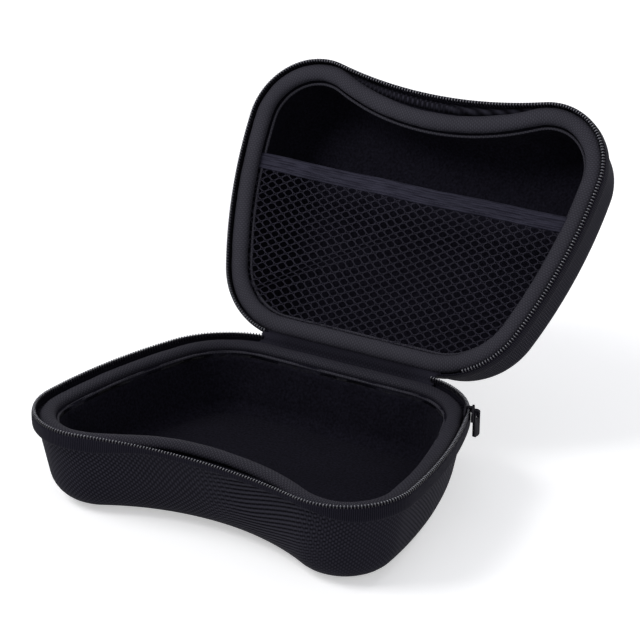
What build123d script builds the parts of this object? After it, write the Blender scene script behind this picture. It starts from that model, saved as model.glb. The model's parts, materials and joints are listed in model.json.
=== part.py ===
"""Moulded carrying case for a hand-held game controller, shown with its lid open.

Two deep trays of foam board faced with woven nylon meet at a zip that runs round
the front and the sides. A strip of fabric along the back is the hinge. The base
stands on the floor (z = 0) with the plan centre of the tray at the origin, X across
the case, Y towards the hinge. All sizes are millimetres.
"""

import os
from math import atan2, cos, degrees, hypot, radians, sin, sqrt, tan

from build123d import *

os.makedirs("parts", exist_ok=True)

# Plan outline, measured over the zip tape: straight back, round rear corners,
# long side arcs, two round front lobes and a waist between the lobes
half_width = 95.0
back_y = 70.0
rear_corner_setback = 55.0
rear_corner_radius = 42.0
side_radius = 250.0
lobe_radius = 32.6
lobe_y = -36.3
waist_depth = 7.4
rear_straight = half_width - rear_corner_setback
rear_y = back_y - rear_corner_radius

# How the two halves are moulded
base_depth = 42.0
base_draft = 12.0
base_round = 15.5
lid_depth = 38.5
lid_draft = 6.0
lid_round = 14.0
waist_draft = 15.5
rim_waist_gap = 3.0
base_shell_wall = 4.5
base_lining_wall = 4.5
lid_shell_wall = 2.4
lid_lining_wall = 0.8

# Rim: zip tape sewn round a flange of the tray, and the padded binding inside it
band_height = 9.0
tape_wall = 0.8
flange_step = 2.0
flange_wall = 3.0
lip_drop = 5.0
tape_edge = 1.5
binding_inset = 3.4
binding_width = 7.4
binding_clear = 1.4
binding_round = 2.9

# Zip coil: the teeth of the two halves interleave when the case is shut. The slider
# parks over the start of the base coil, and the lid coil starts behind it
tooth_pitch = 3.5
tooth_root = 1.9
tooth_tip = 1.1
tooth_reach = 1.0
tooth_inset = 0.1
tooth_depth = 1.5
teeth_end_gap = 2.5
lid_coil_start = 15.0

# Fabric hinge along the back
hinge_overrun = 4.0
hinge_half = rear_straight + hinge_overrun
hinge_line = 0.2
hinge_gap = 0.5
hinge_lining_wall = 1.2
hinge_lining_gap = 0.7
open_angle = 127.0

# Net pocket across the mouth of the lid
pocket_edge_y = -9.7
elastic_width = 8.0
elastic_wall = 1.2
net_wall = 0.6
net_edge_gap = 0.3
net_pitch_x = 15.6
net_pitch_y = 13.4
net_cord = 1.6
net_hem = 3.0

# Zip slider parked at the right rear corner, and its pull
slider_angle = 24.0
slider_length = 11.0
slider_height = 6.4
slider_rise = 2.5
slider_plate = 1.0
slider_inner_plate = 0.8
slider_outer_gap = 0.5
slider_inner_gap = 2.1
slider_nose = 2.4
slider_tail = 1.2
slider_corner = 0.8
post_length = 2.0
post_clear = 0.3
slider_teeth_gap = 0.8
lug_width = 2.0
lug_radius = 1.5
lug_bore = 0.75
lug_standoff = 1.1
pull_pin = 0.6
pull_side_gap = 0.35
pull_rail = 0.9
pull_length = 11.5
pull_width = 4.4
pull_head_gap = 1.1
pull_corner = 1.1

# Reference planes: both lie in the rim plane of their half, with the plan centre as
# origin, and are the same plane when the case is shut
base_rim = Plane.XY.offset(base_depth)
hinge_y = back_y + hinge_line
swing_cos = cos(radians(open_angle))
swing_sin = sin(radians(open_angle))
lid_rim = Plane(
    origin=(0, hinge_y - hinge_y * swing_cos, base_depth + hinge_y * swing_sin),
    x_dir=(1, 0, 0),
    z_dir=(0, swing_sin, swing_cos),
)
DOWN = -1
UP = 1


def half_outline(inset, waist):
    """Right half of the plan outline as one chain of tangent arcs, back to front."""
    lobe_x = half_width - lobe_radius
    rear_reach = side_radius - rear_corner_radius
    lobe_reach = side_radius - lobe_radius
    span = hypot(lobe_x - rear_straight, lobe_y - rear_y)
    dir_x = (lobe_x - rear_straight) / span
    dir_y = (lobe_y - rear_y) / span
    along = (rear_reach**2 - lobe_reach**2 + span**2) / (2 * span)
    across = sqrt(rear_reach**2 - along**2)
    side_x = rear_straight + along * dir_x + across * dir_y
    side_y = rear_y + along * dir_y - across * dir_x
    rear_side = degrees(atan2(rear_y - side_y, rear_straight - side_x))
    side_lobe = degrees(atan2(lobe_y - side_y, lobe_x - side_x))
    rise = lobe_radius - waist
    waist_radius = (rise**2 + lobe_x**2 - lobe_radius**2) / (2 * waist)
    waist_y = lobe_y - rise - waist_radius
    lobe_waist = degrees(atan2(lobe_y - waist_y, lobe_x))
    with BuildLine() as line:
        Line((0, back_y - inset), (rear_straight, back_y - inset))
        CenterArc((rear_straight, rear_y), rear_corner_radius - inset, 90, rear_side - 90)
        CenterArc((side_x, side_y), side_radius - inset, rear_side, side_lobe - rear_side)
        CenterArc(
            (lobe_x, lobe_y), lobe_radius - inset, side_lobe, lobe_waist - 180 - side_lobe
        )
        CenterArc((0, waist_y), waist_radius + inset, lobe_waist, 90 - lobe_waist)
    return line.line


def plan(inset, waist):
    """Flat face inside the plan outline, pushed in by inset, with the given waist."""
    with BuildSketch() as face:
        with BuildLine():
            add(half_outline(inset, waist))
            mirror(about=Plane.YZ)
        make_face()
    return face.sketch


def ring(outer, inner, waist):
    """Flat band between two insets of the plan outline."""
    with BuildSketch() as band:
        add(plan(outer, waist))
        add(plan(inner, waist), mode=Mode.SUBTRACT)
    return band.sketch


def moulded_form(rim, side, inset, depth, draft, bottom_round):
    """Solid tray form: leaned lip at the waist, drafted wall, rounded flat floor."""
    drop = depth - band_height
    floor_inset = inset + drop * tan(radians(draft))
    floor_waist = waist_depth + drop * tan(radians(waist_draft))
    with BuildPart() as form:
        with BuildSketch(rim.offset(side * lip_drop)):
            add(plan(inset, waist_depth + rim_waist_gap))
        with BuildSketch(rim.offset(side * band_height)):
            add(plan(inset, waist_depth))
        loft()
        with BuildSketch(rim.offset(side * band_height)):
            add(plan(inset, waist_depth))
        with BuildSketch(rim.offset(side * depth)):
            add(plan(floor_inset, floor_waist))
        loft()
        floor = form.faces().sort_by(Axis(rim.origin, rim.z_dir * side))[-1]
        fillet(floor.edges(), bottom_round)
    return form.part


def tray_shell(rim, side, depth, draft, bottom_round, wall):
    """Moulded tray with the flange that the zip tape is sewn to."""
    outer_inset = tape_wall + flange_step
    with BuildPart() as shell:
        add(moulded_form(rim, side, outer_inset, depth, draft, bottom_round))
        with BuildSketch(rim.offset(side * band_height)):
            add(ring(tape_wall, tape_wall + flange_wall, waist_depth))
        extrude(amount=-side * (band_height - lip_drop))
        add(
            moulded_form(rim, side, outer_inset + wall, depth - wall, draft, bottom_round - wall),
            mode=Mode.SUBTRACT,
        )
    return shell.part


def tray_lining(rim, side, depth, draft, bottom_round, shell_wall, wall):
    """Padded lining glued all over the inside of a tray."""
    skin_inset = tape_wall + flange_step + shell_wall
    skin_depth = depth - shell_wall
    skin_round = bottom_round - shell_wall
    with BuildPart() as lining:
        add(moulded_form(rim, side, skin_inset, skin_depth, draft, skin_round))
        add(
            moulded_form(rim, side, skin_inset + wall, skin_depth - wall, draft, skin_round - wall),
            mode=Mode.SUBTRACT,
        )
    return lining.part


def rim_binding(rim, side):
    """Padded roll of ribbed tape over the cut edge of a tray and its lining."""
    with BuildPart() as binding:
        with BuildSketch(rim.offset(side * lip_drop)):
            add(ring(binding_inset, binding_inset + binding_width, waist_depth + rim_waist_gap))
        extrude(amount=-side * (lip_drop - binding_clear))
        crown = binding.faces().sort_by(Axis(rim.origin, rim.z_dir * side))[0]
        fillet(crown.edges(), binding_round)
    return binding.part


def zip_tape(rim, side):
    """Tape round the flange, open along the back where the hinge takes its place."""
    with BuildPart() as tape:
        with BuildSketch(rim.offset(side * band_height)):
            add(ring(0, tape_wall, waist_depth))
            with Locations((0, back_y)):
                Rectangle(2 * hinge_half, 2 * flange_wall, mode=Mode.SUBTRACT)
        extrude(amount=-side * (band_height - tape_edge))
    return tape.part


def hinge_leaf(rim, side):
    """One leaf of the outer hinge strip, glued to the back of its tray."""
    with BuildPart() as leaf:
        with BuildSketch(rim.offset(side * band_height)):
            with Locations((0, back_y - tape_wall / 2)):
                Rectangle(2 * hinge_half, tape_wall)
            add(plan(0, waist_depth), mode=Mode.INTERSECT)
        extrude(amount=-side * (band_height - hinge_gap))
    return leaf.part


def hinge_lining(rim, side):
    """One leaf of the ribbed strip that lines the hinge inside the case."""
    with BuildPart() as leaf:
        with BuildSketch(rim.offset(side * lip_drop)):
            with Locations((0, back_y - tape_wall - hinge_lining_wall / 2)):
                Rectangle(2 * hinge_half, hinge_lining_wall)
            add(plan(tape_wall, waist_depth), mode=Mode.INTERSECT)
        extrude(amount=-side * (lip_drop - hinge_lining_gap))
    return leaf.part


def zip_tooth(side):
    """One flat tooth, wide at the tape and narrow at its tip, centred on the tape."""
    with BuildPart() as tooth:
        with BuildSketch(Plane.XZ):
            with BuildLine():
                Polyline(
                    (-tooth_root / 2, side * tape_edge),
                    (tooth_root / 2, side * tape_edge),
                    (tooth_tip / 2, -side * tooth_reach),
                    (-tooth_tip / 2, -side * tooth_reach),
                    close=True,
                )
            make_face()
        extrude(amount=tooth_depth / 2, both=True)
    return tooth.part


def tooth_places(shift, right_start):
    """Places of the teeth along the tape, counted from the middle of the waist.

    The right run starts at a distance right_start from the hinge end of the tape and
    leaves out the stretch that the parked slider covers.
    """
    path = Wire(half_outline(tooth_inset + tooth_depth / 2, waist_depth).edges())
    length = path.length
    last = length - hinge_half - teeth_end_gap
    places = []
    count = int(last / tooth_pitch)
    for index in range(count):
        run = (index + shift) * tooth_pitch
        spot = path.position_at(length - run, position_mode=PositionMode.LENGTH)
        along = path.tangent_at(length - run, position_mode=PositionMode.LENGTH)
        turn = degrees(atan2(along.Y, along.X))
        parked = slider_plane.origin
        from_slider = hypot(spot.X - parked.X, spot.Y - parked.Y)
        if run < length - hinge_half - right_start and from_slider > slider_clear:
            places.append(Location((spot.X, spot.Y, 0), (0, 0, turn)))
        if run > 0:
            places.append(Location((-spot.X, spot.Y, 0), (0, 0, -turn)))
    return places


def zip_teeth(rim, side, shift, right_start):
    """All teeth of one half of the zip."""
    with BuildPart(rim) as teeth:
        with Locations(*tooth_places(shift, right_start)):
            add(zip_tooth(side))
    return teeth.part


def in_net_field(x, y, margin):
    """True if a point of the lid mouth lies inside the sides and back by a margin."""
    if y > back_y - margin:
        return False
    if y > rear_y and abs(x) > rear_straight:
        return hypot(abs(x) - rear_straight, y - rear_y) < rear_corner_radius - margin
    return abs(x) < half_width - margin - (y - lobe_y) ** 2 / (2 * side_radius)


def net_holes(inset):
    """Centres of the meshes of the net, in staggered rows."""
    margin = inset + net_hem + net_pitch_x / 2
    rows = int((back_y - pocket_edge_y) / (net_pitch_y / 2))
    holes = []
    for row in range(1, rows):
        y = pocket_edge_y + net_hem + row * net_pitch_y / 2
        offset = (row % 2) * net_pitch_x / 2
        half_count = int(half_width / net_pitch_x) + 1
        for column in range(-half_count, half_count + 1):
            x = column * net_pitch_x + offset
            if in_net_field(x, y, margin):
                holes.append((x, y))
    return holes


def pocket_net(inset):
    """Knitted net with diamond meshes, held at its edge under the binding."""
    depth = back_y - pocket_edge_y
    mesh_x = (net_pitch_x - net_cord) / 2
    mesh_y = (net_pitch_y - net_cord) / 2
    with BuildPart() as net:
        with BuildSketch(lid_rim.offset(lip_drop)):
            with Locations((0, pocket_edge_y + depth / 2)):
                Rectangle(2 * half_width, depth)
            add(plan(inset, waist_depth), mode=Mode.INTERSECT)
            with Locations(*net_holes(inset)):
                Polygon(
                    (mesh_x, 0), (0, mesh_y), (-mesh_x, 0), (0, -mesh_y), mode=Mode.SUBTRACT
                )
        extrude(amount=net_wall)
    return net.part


def pocket_elastic(inset):
    """Flat elastic band along the open edge of the net."""
    with BuildPart() as elastic:
        with BuildSketch(lid_rim.offset(lip_drop)):
            with Locations((0, pocket_edge_y - elastic_width / 2)):
                Rectangle(2 * half_width, elastic_width)
            add(plan(inset, waist_depth), mode=Mode.INTERSECT)
        extrude(amount=elastic_wall)
    return elastic.part


# Slider frame: x along the tape, y up, z straight out of the tape
slider_dir = Vector(cos(radians(slider_angle)), sin(radians(slider_angle)), 0)
slider_run = Vector(-sin(radians(slider_angle)), cos(radians(slider_angle)), 0)
slider_spot = Vector(rear_straight, rear_y, base_depth)
slider_plane = Plane(
    origin=slider_spot + slider_dir * rear_corner_radius, x_dir=slider_run, z_dir=slider_dir
)
slider_clear = slider_length / 2 + slider_teeth_gap
slider_back_run = rear_corner_radius * radians(90 - slider_angle) - hinge_overrun
plate_face = slider_outer_gap + slider_plate
pin_out = plate_face + lug_standoff
lug_plane = Plane(
    origin=slider_plane.origin + slider_dir * pin_out, x_dir=slider_dir, z_dir=slider_run
)


def plate_sketch():
    """Face of a slider plate: square at the back, drawn in to a nose at the front."""
    top = slider_rise
    low = slider_rise - slider_height
    with BuildSketch() as face:
        with BuildLine():
            Polyline(
                (-slider_length / 2, low + slider_tail),
                (slider_length / 2 - slider_nose, low),
                (slider_length / 2, low + slider_nose),
                (slider_length / 2, top - slider_nose),
                (slider_length / 2 - slider_nose, top),
                (-slider_length / 2, top - slider_tail),
                close=True,
            )
        make_face()
        fillet(face.vertices(), slider_corner)
    return face.sketch


def zip_slider():
    """Die-cast slider: outer and inner plate, post between them, lug for the pull."""
    post_height = 2 * (tape_edge - post_clear)
    with BuildPart() as slider:
        with BuildSketch(slider_plane.offset(slider_outer_gap)):
            add(plate_sketch())
        extrude(amount=slider_plate)
        with BuildSketch(slider_plane.offset(-slider_inner_gap)):
            add(plate_sketch())
        extrude(amount=-slider_inner_plate)
        with BuildSketch(slider_plane.offset(-slider_inner_gap)):
            with Locations((slider_length / 2 - slider_nose / 2 - post_length / 2, 0)):
                Rectangle(post_length, post_height)
        extrude(amount=slider_inner_gap + slider_outer_gap)
        with BuildSketch(lug_plane):
            Circle(lug_radius)
            with Locations((-lug_standoff / 2, 0)):
                Rectangle(lug_standoff, 2 * lug_radius)
            Circle(lug_bore, mode=Mode.SUBTRACT)
        extrude(amount=lug_width / 2, both=True)
    return slider.part


def slider_pull():
    """Pull that hangs from the lug: cross pin, two rails and a flat tab."""
    rail_start = lug_width / 2 + pull_side_gap
    rail_end = rail_start + pull_rail
    with BuildPart() as pull:
        with BuildSketch(lug_plane):
            Circle(pull_pin)
        extrude(amount=rail_start, both=True)
        for side in (DOWN, UP):
            with BuildSketch(lug_plane.offset(side * rail_start)):
                Circle(pull_pin)
                with Locations((0, (lug_radius + pull_head_gap) / 2)):
                    Rectangle(2 * pull_pin, lug_radius + pull_head_gap)
            extrude(amount=side * pull_rail)
        with BuildSketch(slider_plane.offset(pin_out - pull_pin)):
            with Locations((0, -(lug_radius + pull_head_gap + pull_length) / 2)):
                Rectangle(pull_width, pull_length - lug_radius - pull_head_gap)
        extrude(amount=2 * pull_pin)
        tab_ends = pull.edges().filter_by(Axis(slider_plane.origin, slider_dir))
        fillet(tab_ends.group_by(Axis.Z)[0], pull_corner)
    return pull.part


def save(part, name):
    """Label a finished piece and write it."""
    part.label = name
    export_step(part, f"parts/{name}.step")


net_inset = tape_wall + flange_step + lid_shell_wall + lid_lining_wall + net_edge_gap

save(tray_shell(base_rim, DOWN, base_depth, base_draft, base_round, base_shell_wall), "base_shell")
save(
    tray_lining(
        base_rim, DOWN, base_depth, base_draft, base_round, base_shell_wall, base_lining_wall
    ),
    "base_lining",
)
save(tray_shell(lid_rim, UP, lid_depth, lid_draft, lid_round, lid_shell_wall), "lid_shell")
save(
    tray_lining(lid_rim, UP, lid_depth, lid_draft, lid_round, lid_shell_wall, lid_lining_wall),
    "lid_lining",
)
halves = (
    ("base", base_rim, DOWN, 0, slider_back_run + slider_clear),
    ("lid", lid_rim, UP, 0.5, lid_coil_start),
)
for name, rim, side, shift, coil_start in halves:
    save(rim_binding(rim, side), f"{name}_binding")
    save(zip_tape(rim, side), f"{name}_zip_tape")
    save(zip_teeth(rim, side, shift, coil_start), f"{name}_zip_teeth")
    save(hinge_leaf(rim, side), f"{name}_hinge_cover")
    save(hinge_lining(rim, side), f"{name}_hinge_lining")
save(pocket_net(net_inset), "pocket_net")
save(pocket_elastic(net_inset), "pocket_elastic")
save(zip_slider(), "zip_slider")
save(slider_pull(), "slider_pull")
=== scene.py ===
# %% [markdown]
# A moulded carrying case, standing open on a pale floor. Two trays of foam board faced
# with woven nylon are joined by a fabric hinge and closed by a coil zip. The frame that
# is loaded first holds every piece at its real size and place. This script adds what the
# eye sees: cloth, ribs, threads, the small teeth of the zip and the soft studio light.

# %% Load the frame
import json
import math

import bmesh
import bpy
import numpy as np
from mathutils import Matrix, Quaternion, Vector


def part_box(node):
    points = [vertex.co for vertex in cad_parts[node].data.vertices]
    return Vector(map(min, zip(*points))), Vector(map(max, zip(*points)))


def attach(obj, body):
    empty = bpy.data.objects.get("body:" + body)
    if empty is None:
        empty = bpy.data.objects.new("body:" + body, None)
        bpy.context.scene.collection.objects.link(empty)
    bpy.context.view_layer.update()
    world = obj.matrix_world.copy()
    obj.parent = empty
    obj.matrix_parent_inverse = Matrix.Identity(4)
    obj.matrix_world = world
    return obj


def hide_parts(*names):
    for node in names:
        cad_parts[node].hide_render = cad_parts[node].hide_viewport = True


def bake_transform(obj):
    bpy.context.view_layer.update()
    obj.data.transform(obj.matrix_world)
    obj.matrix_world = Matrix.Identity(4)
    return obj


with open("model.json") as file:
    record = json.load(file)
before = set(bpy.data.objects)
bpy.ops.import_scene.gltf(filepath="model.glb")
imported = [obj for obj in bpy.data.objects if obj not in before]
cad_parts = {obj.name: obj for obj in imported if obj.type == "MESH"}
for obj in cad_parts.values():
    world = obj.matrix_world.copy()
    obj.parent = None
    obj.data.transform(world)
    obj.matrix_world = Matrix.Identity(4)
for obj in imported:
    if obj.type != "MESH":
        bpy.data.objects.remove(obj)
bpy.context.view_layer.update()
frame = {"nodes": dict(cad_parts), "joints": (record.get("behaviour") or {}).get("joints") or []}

# %% [markdown]
# All shapes below are worked out in millimetres and turned to metres once, when a mesh is
# made. The hinge line and the height of the rim come from the frame's own joint, so that
# each cloth piece lies where the solid it stands for lies.

# %% Sizes that the pieces share
MM = 0.001
joints = {joint["name"]: joint for joint in frame["joints"]}
lid_joint = joints["lid_hinge"]
hinge_y = lid_joint["pos_m"][1] / MM
rim_z = lid_joint["pos_m"][2] / MM
open_turn = math.radians(max(lid_joint["range_deg"]))
open_sine, open_cosine = math.sin(open_turn), math.cos(open_turn)
half_width = round(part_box("base_zip_tape")[1].x / MM, 1)
back_y = 70.0
rear_corner_setback = 55.0
rear_straight = half_width - rear_corner_setback
rear_corner_radius = 42.0
side_radius = 250.0
lobe_radius = 32.6
lobe_y = -36.3
waist_depth = 7.4
rim_waist_gap = 3.0
waist_draft = math.radians(15)
band_height = 7.6
lip_drop = 5.0
hinge_overrun = 4.0
hinge_half = rear_straight + hinge_overrun
print("hinge line at", hinge_y, rim_z, "half width", half_width)

# %% [markdown]
# The rim of the case is a closed line of tangent arcs: a straight back, two rear corners,
# two long sides, two front lobes and a waist. Every band, roll and seam follows it, so it
# is one function. It takes runs, which are distances along the rim from the middle of the
# back, and gives points that are pushed in by an inset. The waist can be made deeper, as
# it is lower down on the wall.

# %% The outline as arcs
def arcs(inset, waist):
    """Centre, radius, first and last angle of the arcs of the right half, back to front."""
    lobe_x = half_width - lobe_radius
    rear_y = back_y - rear_corner_radius
    rear_reach = side_radius - rear_corner_radius
    lobe_reach = side_radius - lobe_radius
    span = math.hypot(lobe_x - rear_straight, lobe_y - rear_y)
    way_x = (lobe_x - rear_straight) / span
    way_y = (lobe_y - rear_y) / span
    along = (rear_reach**2 - lobe_reach**2 + span**2) / (2 * span)
    across = math.sqrt(rear_reach**2 - along**2)
    side_x = rear_straight + along * way_x + across * way_y
    side_y = rear_y + along * way_y - across * way_x
    rear_side = math.atan2(rear_y - side_y, rear_straight - side_x)
    side_lobe = math.atan2(lobe_y - side_y, lobe_x - side_x)
    rise = lobe_radius - waist
    waist_radius = (rise**2 + lobe_x**2 - lobe_radius**2) / (2 * waist)
    waist_y = lobe_y - rise - waist_radius
    lobe_waist = math.atan2(lobe_y - waist_y, lobe_x)
    quarter = math.pi / 2
    return [
        (rear_straight, rear_y, rear_corner_radius - inset, quarter, rear_side),
        (side_x, side_y, side_radius - inset, rear_side, side_lobe),
        (lobe_x, lobe_y, lobe_radius - inset, side_lobe, lobe_waist - math.pi),
        (0.0, waist_y, waist_radius + inset, lobe_waist, quarter),
    ]


arc_lengths = [radius * abs(last - first) for _, _, radius, first, last in arcs(0, waist_depth)]
half_run = rear_straight + sum(arc_lengths)
full_run = 2 * half_run


def ring(inset, waist, runs):
    """Plan points of the outline at these runs, clockwise from the middle of the back."""
    runs = np.asarray(runs, float) % full_run
    near = np.where(runs > half_run, full_run - runs, runs)
    side = np.where(runs > half_run, -1.0, 1.0)
    x = np.minimum(near, rear_straight)
    y = np.full_like(x, back_y - inset)
    start = rear_straight
    for (centre_x, centre_y, radius, first, last), length in zip(arcs(inset, waist), arc_lengths):
        share = np.clip((near - start) / length, 0, 1)
        angle = first + share * (last - first)
        x = np.where(near > start, centre_x + radius * np.cos(angle), x)
        y = np.where(near > start, centre_y + radius * np.sin(angle), y)
        start += length
    return np.stack([side * x, y], -1)


print("rim length", round(full_run, 1), "mm")

# %% [markdown]
# The band under the zip is full height round the lobes and almost runs out at the waist,
# where the cloth is pulled tight. One function raises the foot of the band there, for the
# tape and for the wall below it. Further down the wall the shift fades away.

# %% The lower band at the waist
def smooth(low, high, value):
    """0 below low, 1 above high and a smooth step between them."""
    share = np.clip((np.asarray(value, float) - low) / (high - low), 0, 1)
    return share * share * (3 - 2 * share)


def waist_share(runs, left, right, fade):
    """1 between left and right, in mm from the middle of the waist, falling to 0 outside."""
    place = half_run - np.asarray(runs) % full_run
    return smooth(left - fade, left, place) * (1 - smooth(right, right + fade, place))


foot_rise = {"base": 5.0, "lid": 2.0}
foot_left, foot_right, foot_fade = -18.0, 55.0, 34.0
foot_calm_depth = 26.0


def lifted(half, depth, runs):
    """Depth behind the rim at these runs, with the foot of the band raised at the waist."""
    share = depth / band_height
    if depth >= band_height:
        share = 1 - smooth(band_height, foot_calm_depth, depth)
    rise = foot_rise[half] * share
    return depth - rise * waist_share(runs, foot_left, foot_right, foot_fade)

# %% [markdown]
# The two halves are the same shapes in two places. A point is given by its plan place and
# its depth behind the rim plane, and this function puts it on the base, where depth goes
# down, or on the open lid, where depth goes back and the plan is turned about the hinge.

# %% Place points on a half
def placed(half, plan, depth):
    """Points in metres, for plan points in mm at a depth behind the rim of that half."""
    x, y = plan[..., 0], plan[..., 1]
    depth = np.broadcast_to(depth, x.shape)
    if half == "base":
        return np.stack([x, y, rim_z - depth], -1) * MM
    reach = y - hinge_y
    turned_y = hinge_y + reach * open_cosine + depth * open_sine
    turned_z = rim_z - reach * open_sine + depth * open_cosine
    return np.stack([x, turned_y, turned_z], -1) * MM


# %% [markdown]
# Most pieces are lofts: rows of points, each row one line along the rim. A loft can close
# along its rows, as a ring does, or across them, as a roll of tape does, and open ends
# get a cap. Its UV map, called lay, holds real distances in metres, along the rim and
# across it, so that a weave keeps its true scale and follows the cloth.

# %% Build a loft
def show(name, data):
    """A new object with this data, linked to the scene."""
    made = bpy.data.objects.new(name, data)
    bpy.context.scene.collection.objects.link(made)
    return made


def points_of(mesh):
    """The points of a mesh as rows of x, y and z."""
    points = np.empty(len(mesh.vertices) * 3)
    mesh.vertices.foreach_get("co", points)
    return points.reshape(-1, 3)


def loft(name, rows, along, across, ring_shut=True, flat=None):
    """A closed mesh from rows of points, with its UV map in metres.

    Without flat, the last row joins the first, and an open ring is capped. With flat, the
    first and last row are capped. It gives rows, by number, a UV point for each point.
    """
    rows = np.asarray(rows)
    count, width = rows.shape[:2]
    row_last = count - 1 if flat else count
    column_last = width if ring_shut else width - 1
    faces, uvs = [], []
    for row in range(row_last):
        below = (row + 1) % count
        for column in range(column_last):
            right = (column + 1) % width
            square = [(row, column), (row, right), (below, right), (below, column)]
            faces.append([line * width + place for line, place in square])
            if flat and row in flat and below in flat:
                uvs += [flat[line][place] for line, place in square]
                continue
            near, far = along[column:column + 2]
            low, high = across[row:row + 2]
            uvs += [(near, low), (far, low), (far, high), (near, high)]
    if flat:
        for row in (0, count - 1):
            faces.append([row * width + column for column in range(width)])
            uvs += list(flat[row])
    elif not ring_shut:
        for column in (0, width - 1):
            faces.append([row * width + column for row in range(count)])
            uvs += [(along[column] + across[row], across[row]) for row in range(count)]
    mesh = bpy.data.meshes.new(name)
    mesh.from_pydata(rows.reshape(-1, 3).tolist(), [], faces)
    mesh.uv_layers.new(name="lay").data.foreach_set("uv", np.array(uvs, float).ravel())
    mesh.shade_smooth()
    outside = bmesh.new()
    outside.from_mesh(mesh)
    bmesh.ops.recalc_face_normals(outside, faces=outside.faces)
    outside.to_mesh(mesh)
    outside.free()
    print(name, "faces:", len(mesh.polygons))
    return show(name, mesh)


def lengths(points):
    """Distance travelled along a row of 2D points, starting at 0."""
    steps = np.linalg.norm(np.diff(points, axis=0), axis=-1)
    return np.concatenate([[0.0], np.cumsum(steps)])


def tube(name, rows, section, stations, ring_end=None):
    """A loft round a closed section, at stations in mm. With ring_end it is a ring."""
    whole = ring_end is not None
    along = np.append(stations, ring_end if whole else stations[-1]) * MM
    across = lengths(np.vstack([section, section[:1]])) * MM
    return loft(name, rows, along, across, ring_shut=whole)


def ripple(runs, seed, longest):
    """A gentle uneven wave between about -1 and 1 that closes over the whole rim."""
    chance = np.random.default_rng(seed)
    total = np.zeros(len(runs))
    for step in range(5):
        turns = round(full_run / longest * (1 + 0.9 * step)) + chance.integers(0, 3)
        total += np.sin(2 * math.pi * turns * runs / full_run + chance.uniform(0, 6)) / (step + 1)
    return total / 2


# %% [markdown]
# A case like this is nearly all cloth, so one finish never serves two pieces. Each
# material below starts with what the real one is. Small helpers keep them short: one
# turns a hex colour to the linear values that the shader wants, and one adds a node with
# its settings and its links. The others stand for the nodes that come back most.

# %% Colour and node helpers
def tint(code):
    """An sRGB hex colour as linear values with an alpha of 1."""
    channels = [int(code[place:place + 2], 16) / 255 for place in (1, 3, 5)]
    linear = [c / 12.92 if c <= 0.04045 else ((c + 0.055) / 1.055) ** 2.4 for c in channels]
    return (*linear, 1.0)


def add(tree, kind, settings=()):
    """Adds a node. Settings are its properties, and for its inputs a value or a socket."""
    node = tree.nodes.new(kind)
    for key, value in dict(settings).items():
        if isinstance(value, bpy.types.NodeSocket):
            tree.links.new(value, node.inputs[key])
        elif isinstance(key, str) and hasattr(node, key):
            setattr(node, key, value)
        else:
            node.inputs[key].default_value = value
    return node


def maths(tree, operation, *terms):
    """The result of a math node, whose terms are sockets or numbers."""
    settings = {"operation": operation, **dict(enumerate(terms))}
    return add(tree, "ShaderNodeMath", settings).outputs[0]


def vectors(tree, operation, first, second):
    """The result of a vector math node. For SCALE the second term is a number."""
    settings = {"operation": operation, 0: first, "Scale" if operation == "SCALE" else 1: second}
    return add(tree, "ShaderNodeVectorMath", settings).outputs[0]


def mapped(tree, value, low, high, to_low=0.0, to_high=1.0):
    """A value carried from one range to another and held at the ends."""
    settings = {"Value": value, "From Min": low, "From Max": high, "To Min": to_low,
                "To Max": to_high}
    return add(tree, "ShaderNodeMapRange", settings).outputs[0]


def noise(tree, scale, detail, roughness=0.5):
    """A noise that is laid in the space of the object."""
    place = add(tree, "ShaderNodeTexCoord").outputs["Object"]
    settings = {"Vector": place, "Scale": scale, "Detail": detail, "Roughness": roughness}
    return add(tree, "ShaderNodeTexNoise", settings)


def material(name, values):
    """A new material and its shader, with plain values on the shader's own sockets."""
    made = bpy.data.materials.new(name)
    made.use_nodes = True
    shader = made.node_tree.nodes["Principled BSDF"]
    for socket, value in values.items():
        shader.inputs[socket].default_value = value
    return made, made.node_tree, shader

# %% [markdown]
# Threads repeat, so their height is a wave of the distance along the cloth. Two crossed
# waves multiplied give the staggered dots of a plain weave; one alone gives ribs. A slow
# noise shifts the distances first, because cloth that was pressed over a mould never
# keeps its threads quite straight.

# %% Thread patterns
def cloth_lay(tree, wander, scale=40.0):
    """Distances along and across the cloth in metres, shifted a little by a slow noise."""
    lay = add(tree, "ShaderNodeUVMap", {"uv_map": "lay"})
    middle = vectors(tree, "SUBTRACT", noise(tree, scale, 1.0).outputs["Color"], (0.5, 0.5, 0.5))
    shift = vectors(tree, "SCALE", middle, wander)
    split = add(tree, "ShaderNodeSeparateXYZ", {0: vectors(tree, "ADD", lay.outputs[0], shift)})
    return split.outputs["X"], split.outputs["Y"]


def wave(tree, distance, pitch):
    """A wave from -1 to 1 along a distance in metres, one turn for each pitch."""
    return maths(tree, "COSINE", maths(tree, "MULTIPLY", distance, 2 * math.pi / pitch))


def plain_weave(tree, along, across, pitch, row_pitch, finer):
    """Staggered dots at these pitches, with a share of ribs of half the pitch."""
    dots = maths(tree, "MULTIPLY", wave(tree, along, pitch), wave(tree, across, row_pitch))
    return maths(tree, "MULTIPLY_ADD", wave(tree, along, pitch / 2), finer, dots)


def zone(tree, along, middle, inner, outer, inside, outside):
    """A level that is inside near a place along the cloth and outside away from it, in mm."""
    away = maths(tree, "ABSOLUTE", maths(tree, "SUBTRACT", along, middle * MM))
    return mapped(tree, away, inner * MM, outer * MM, inside, outside)


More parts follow.
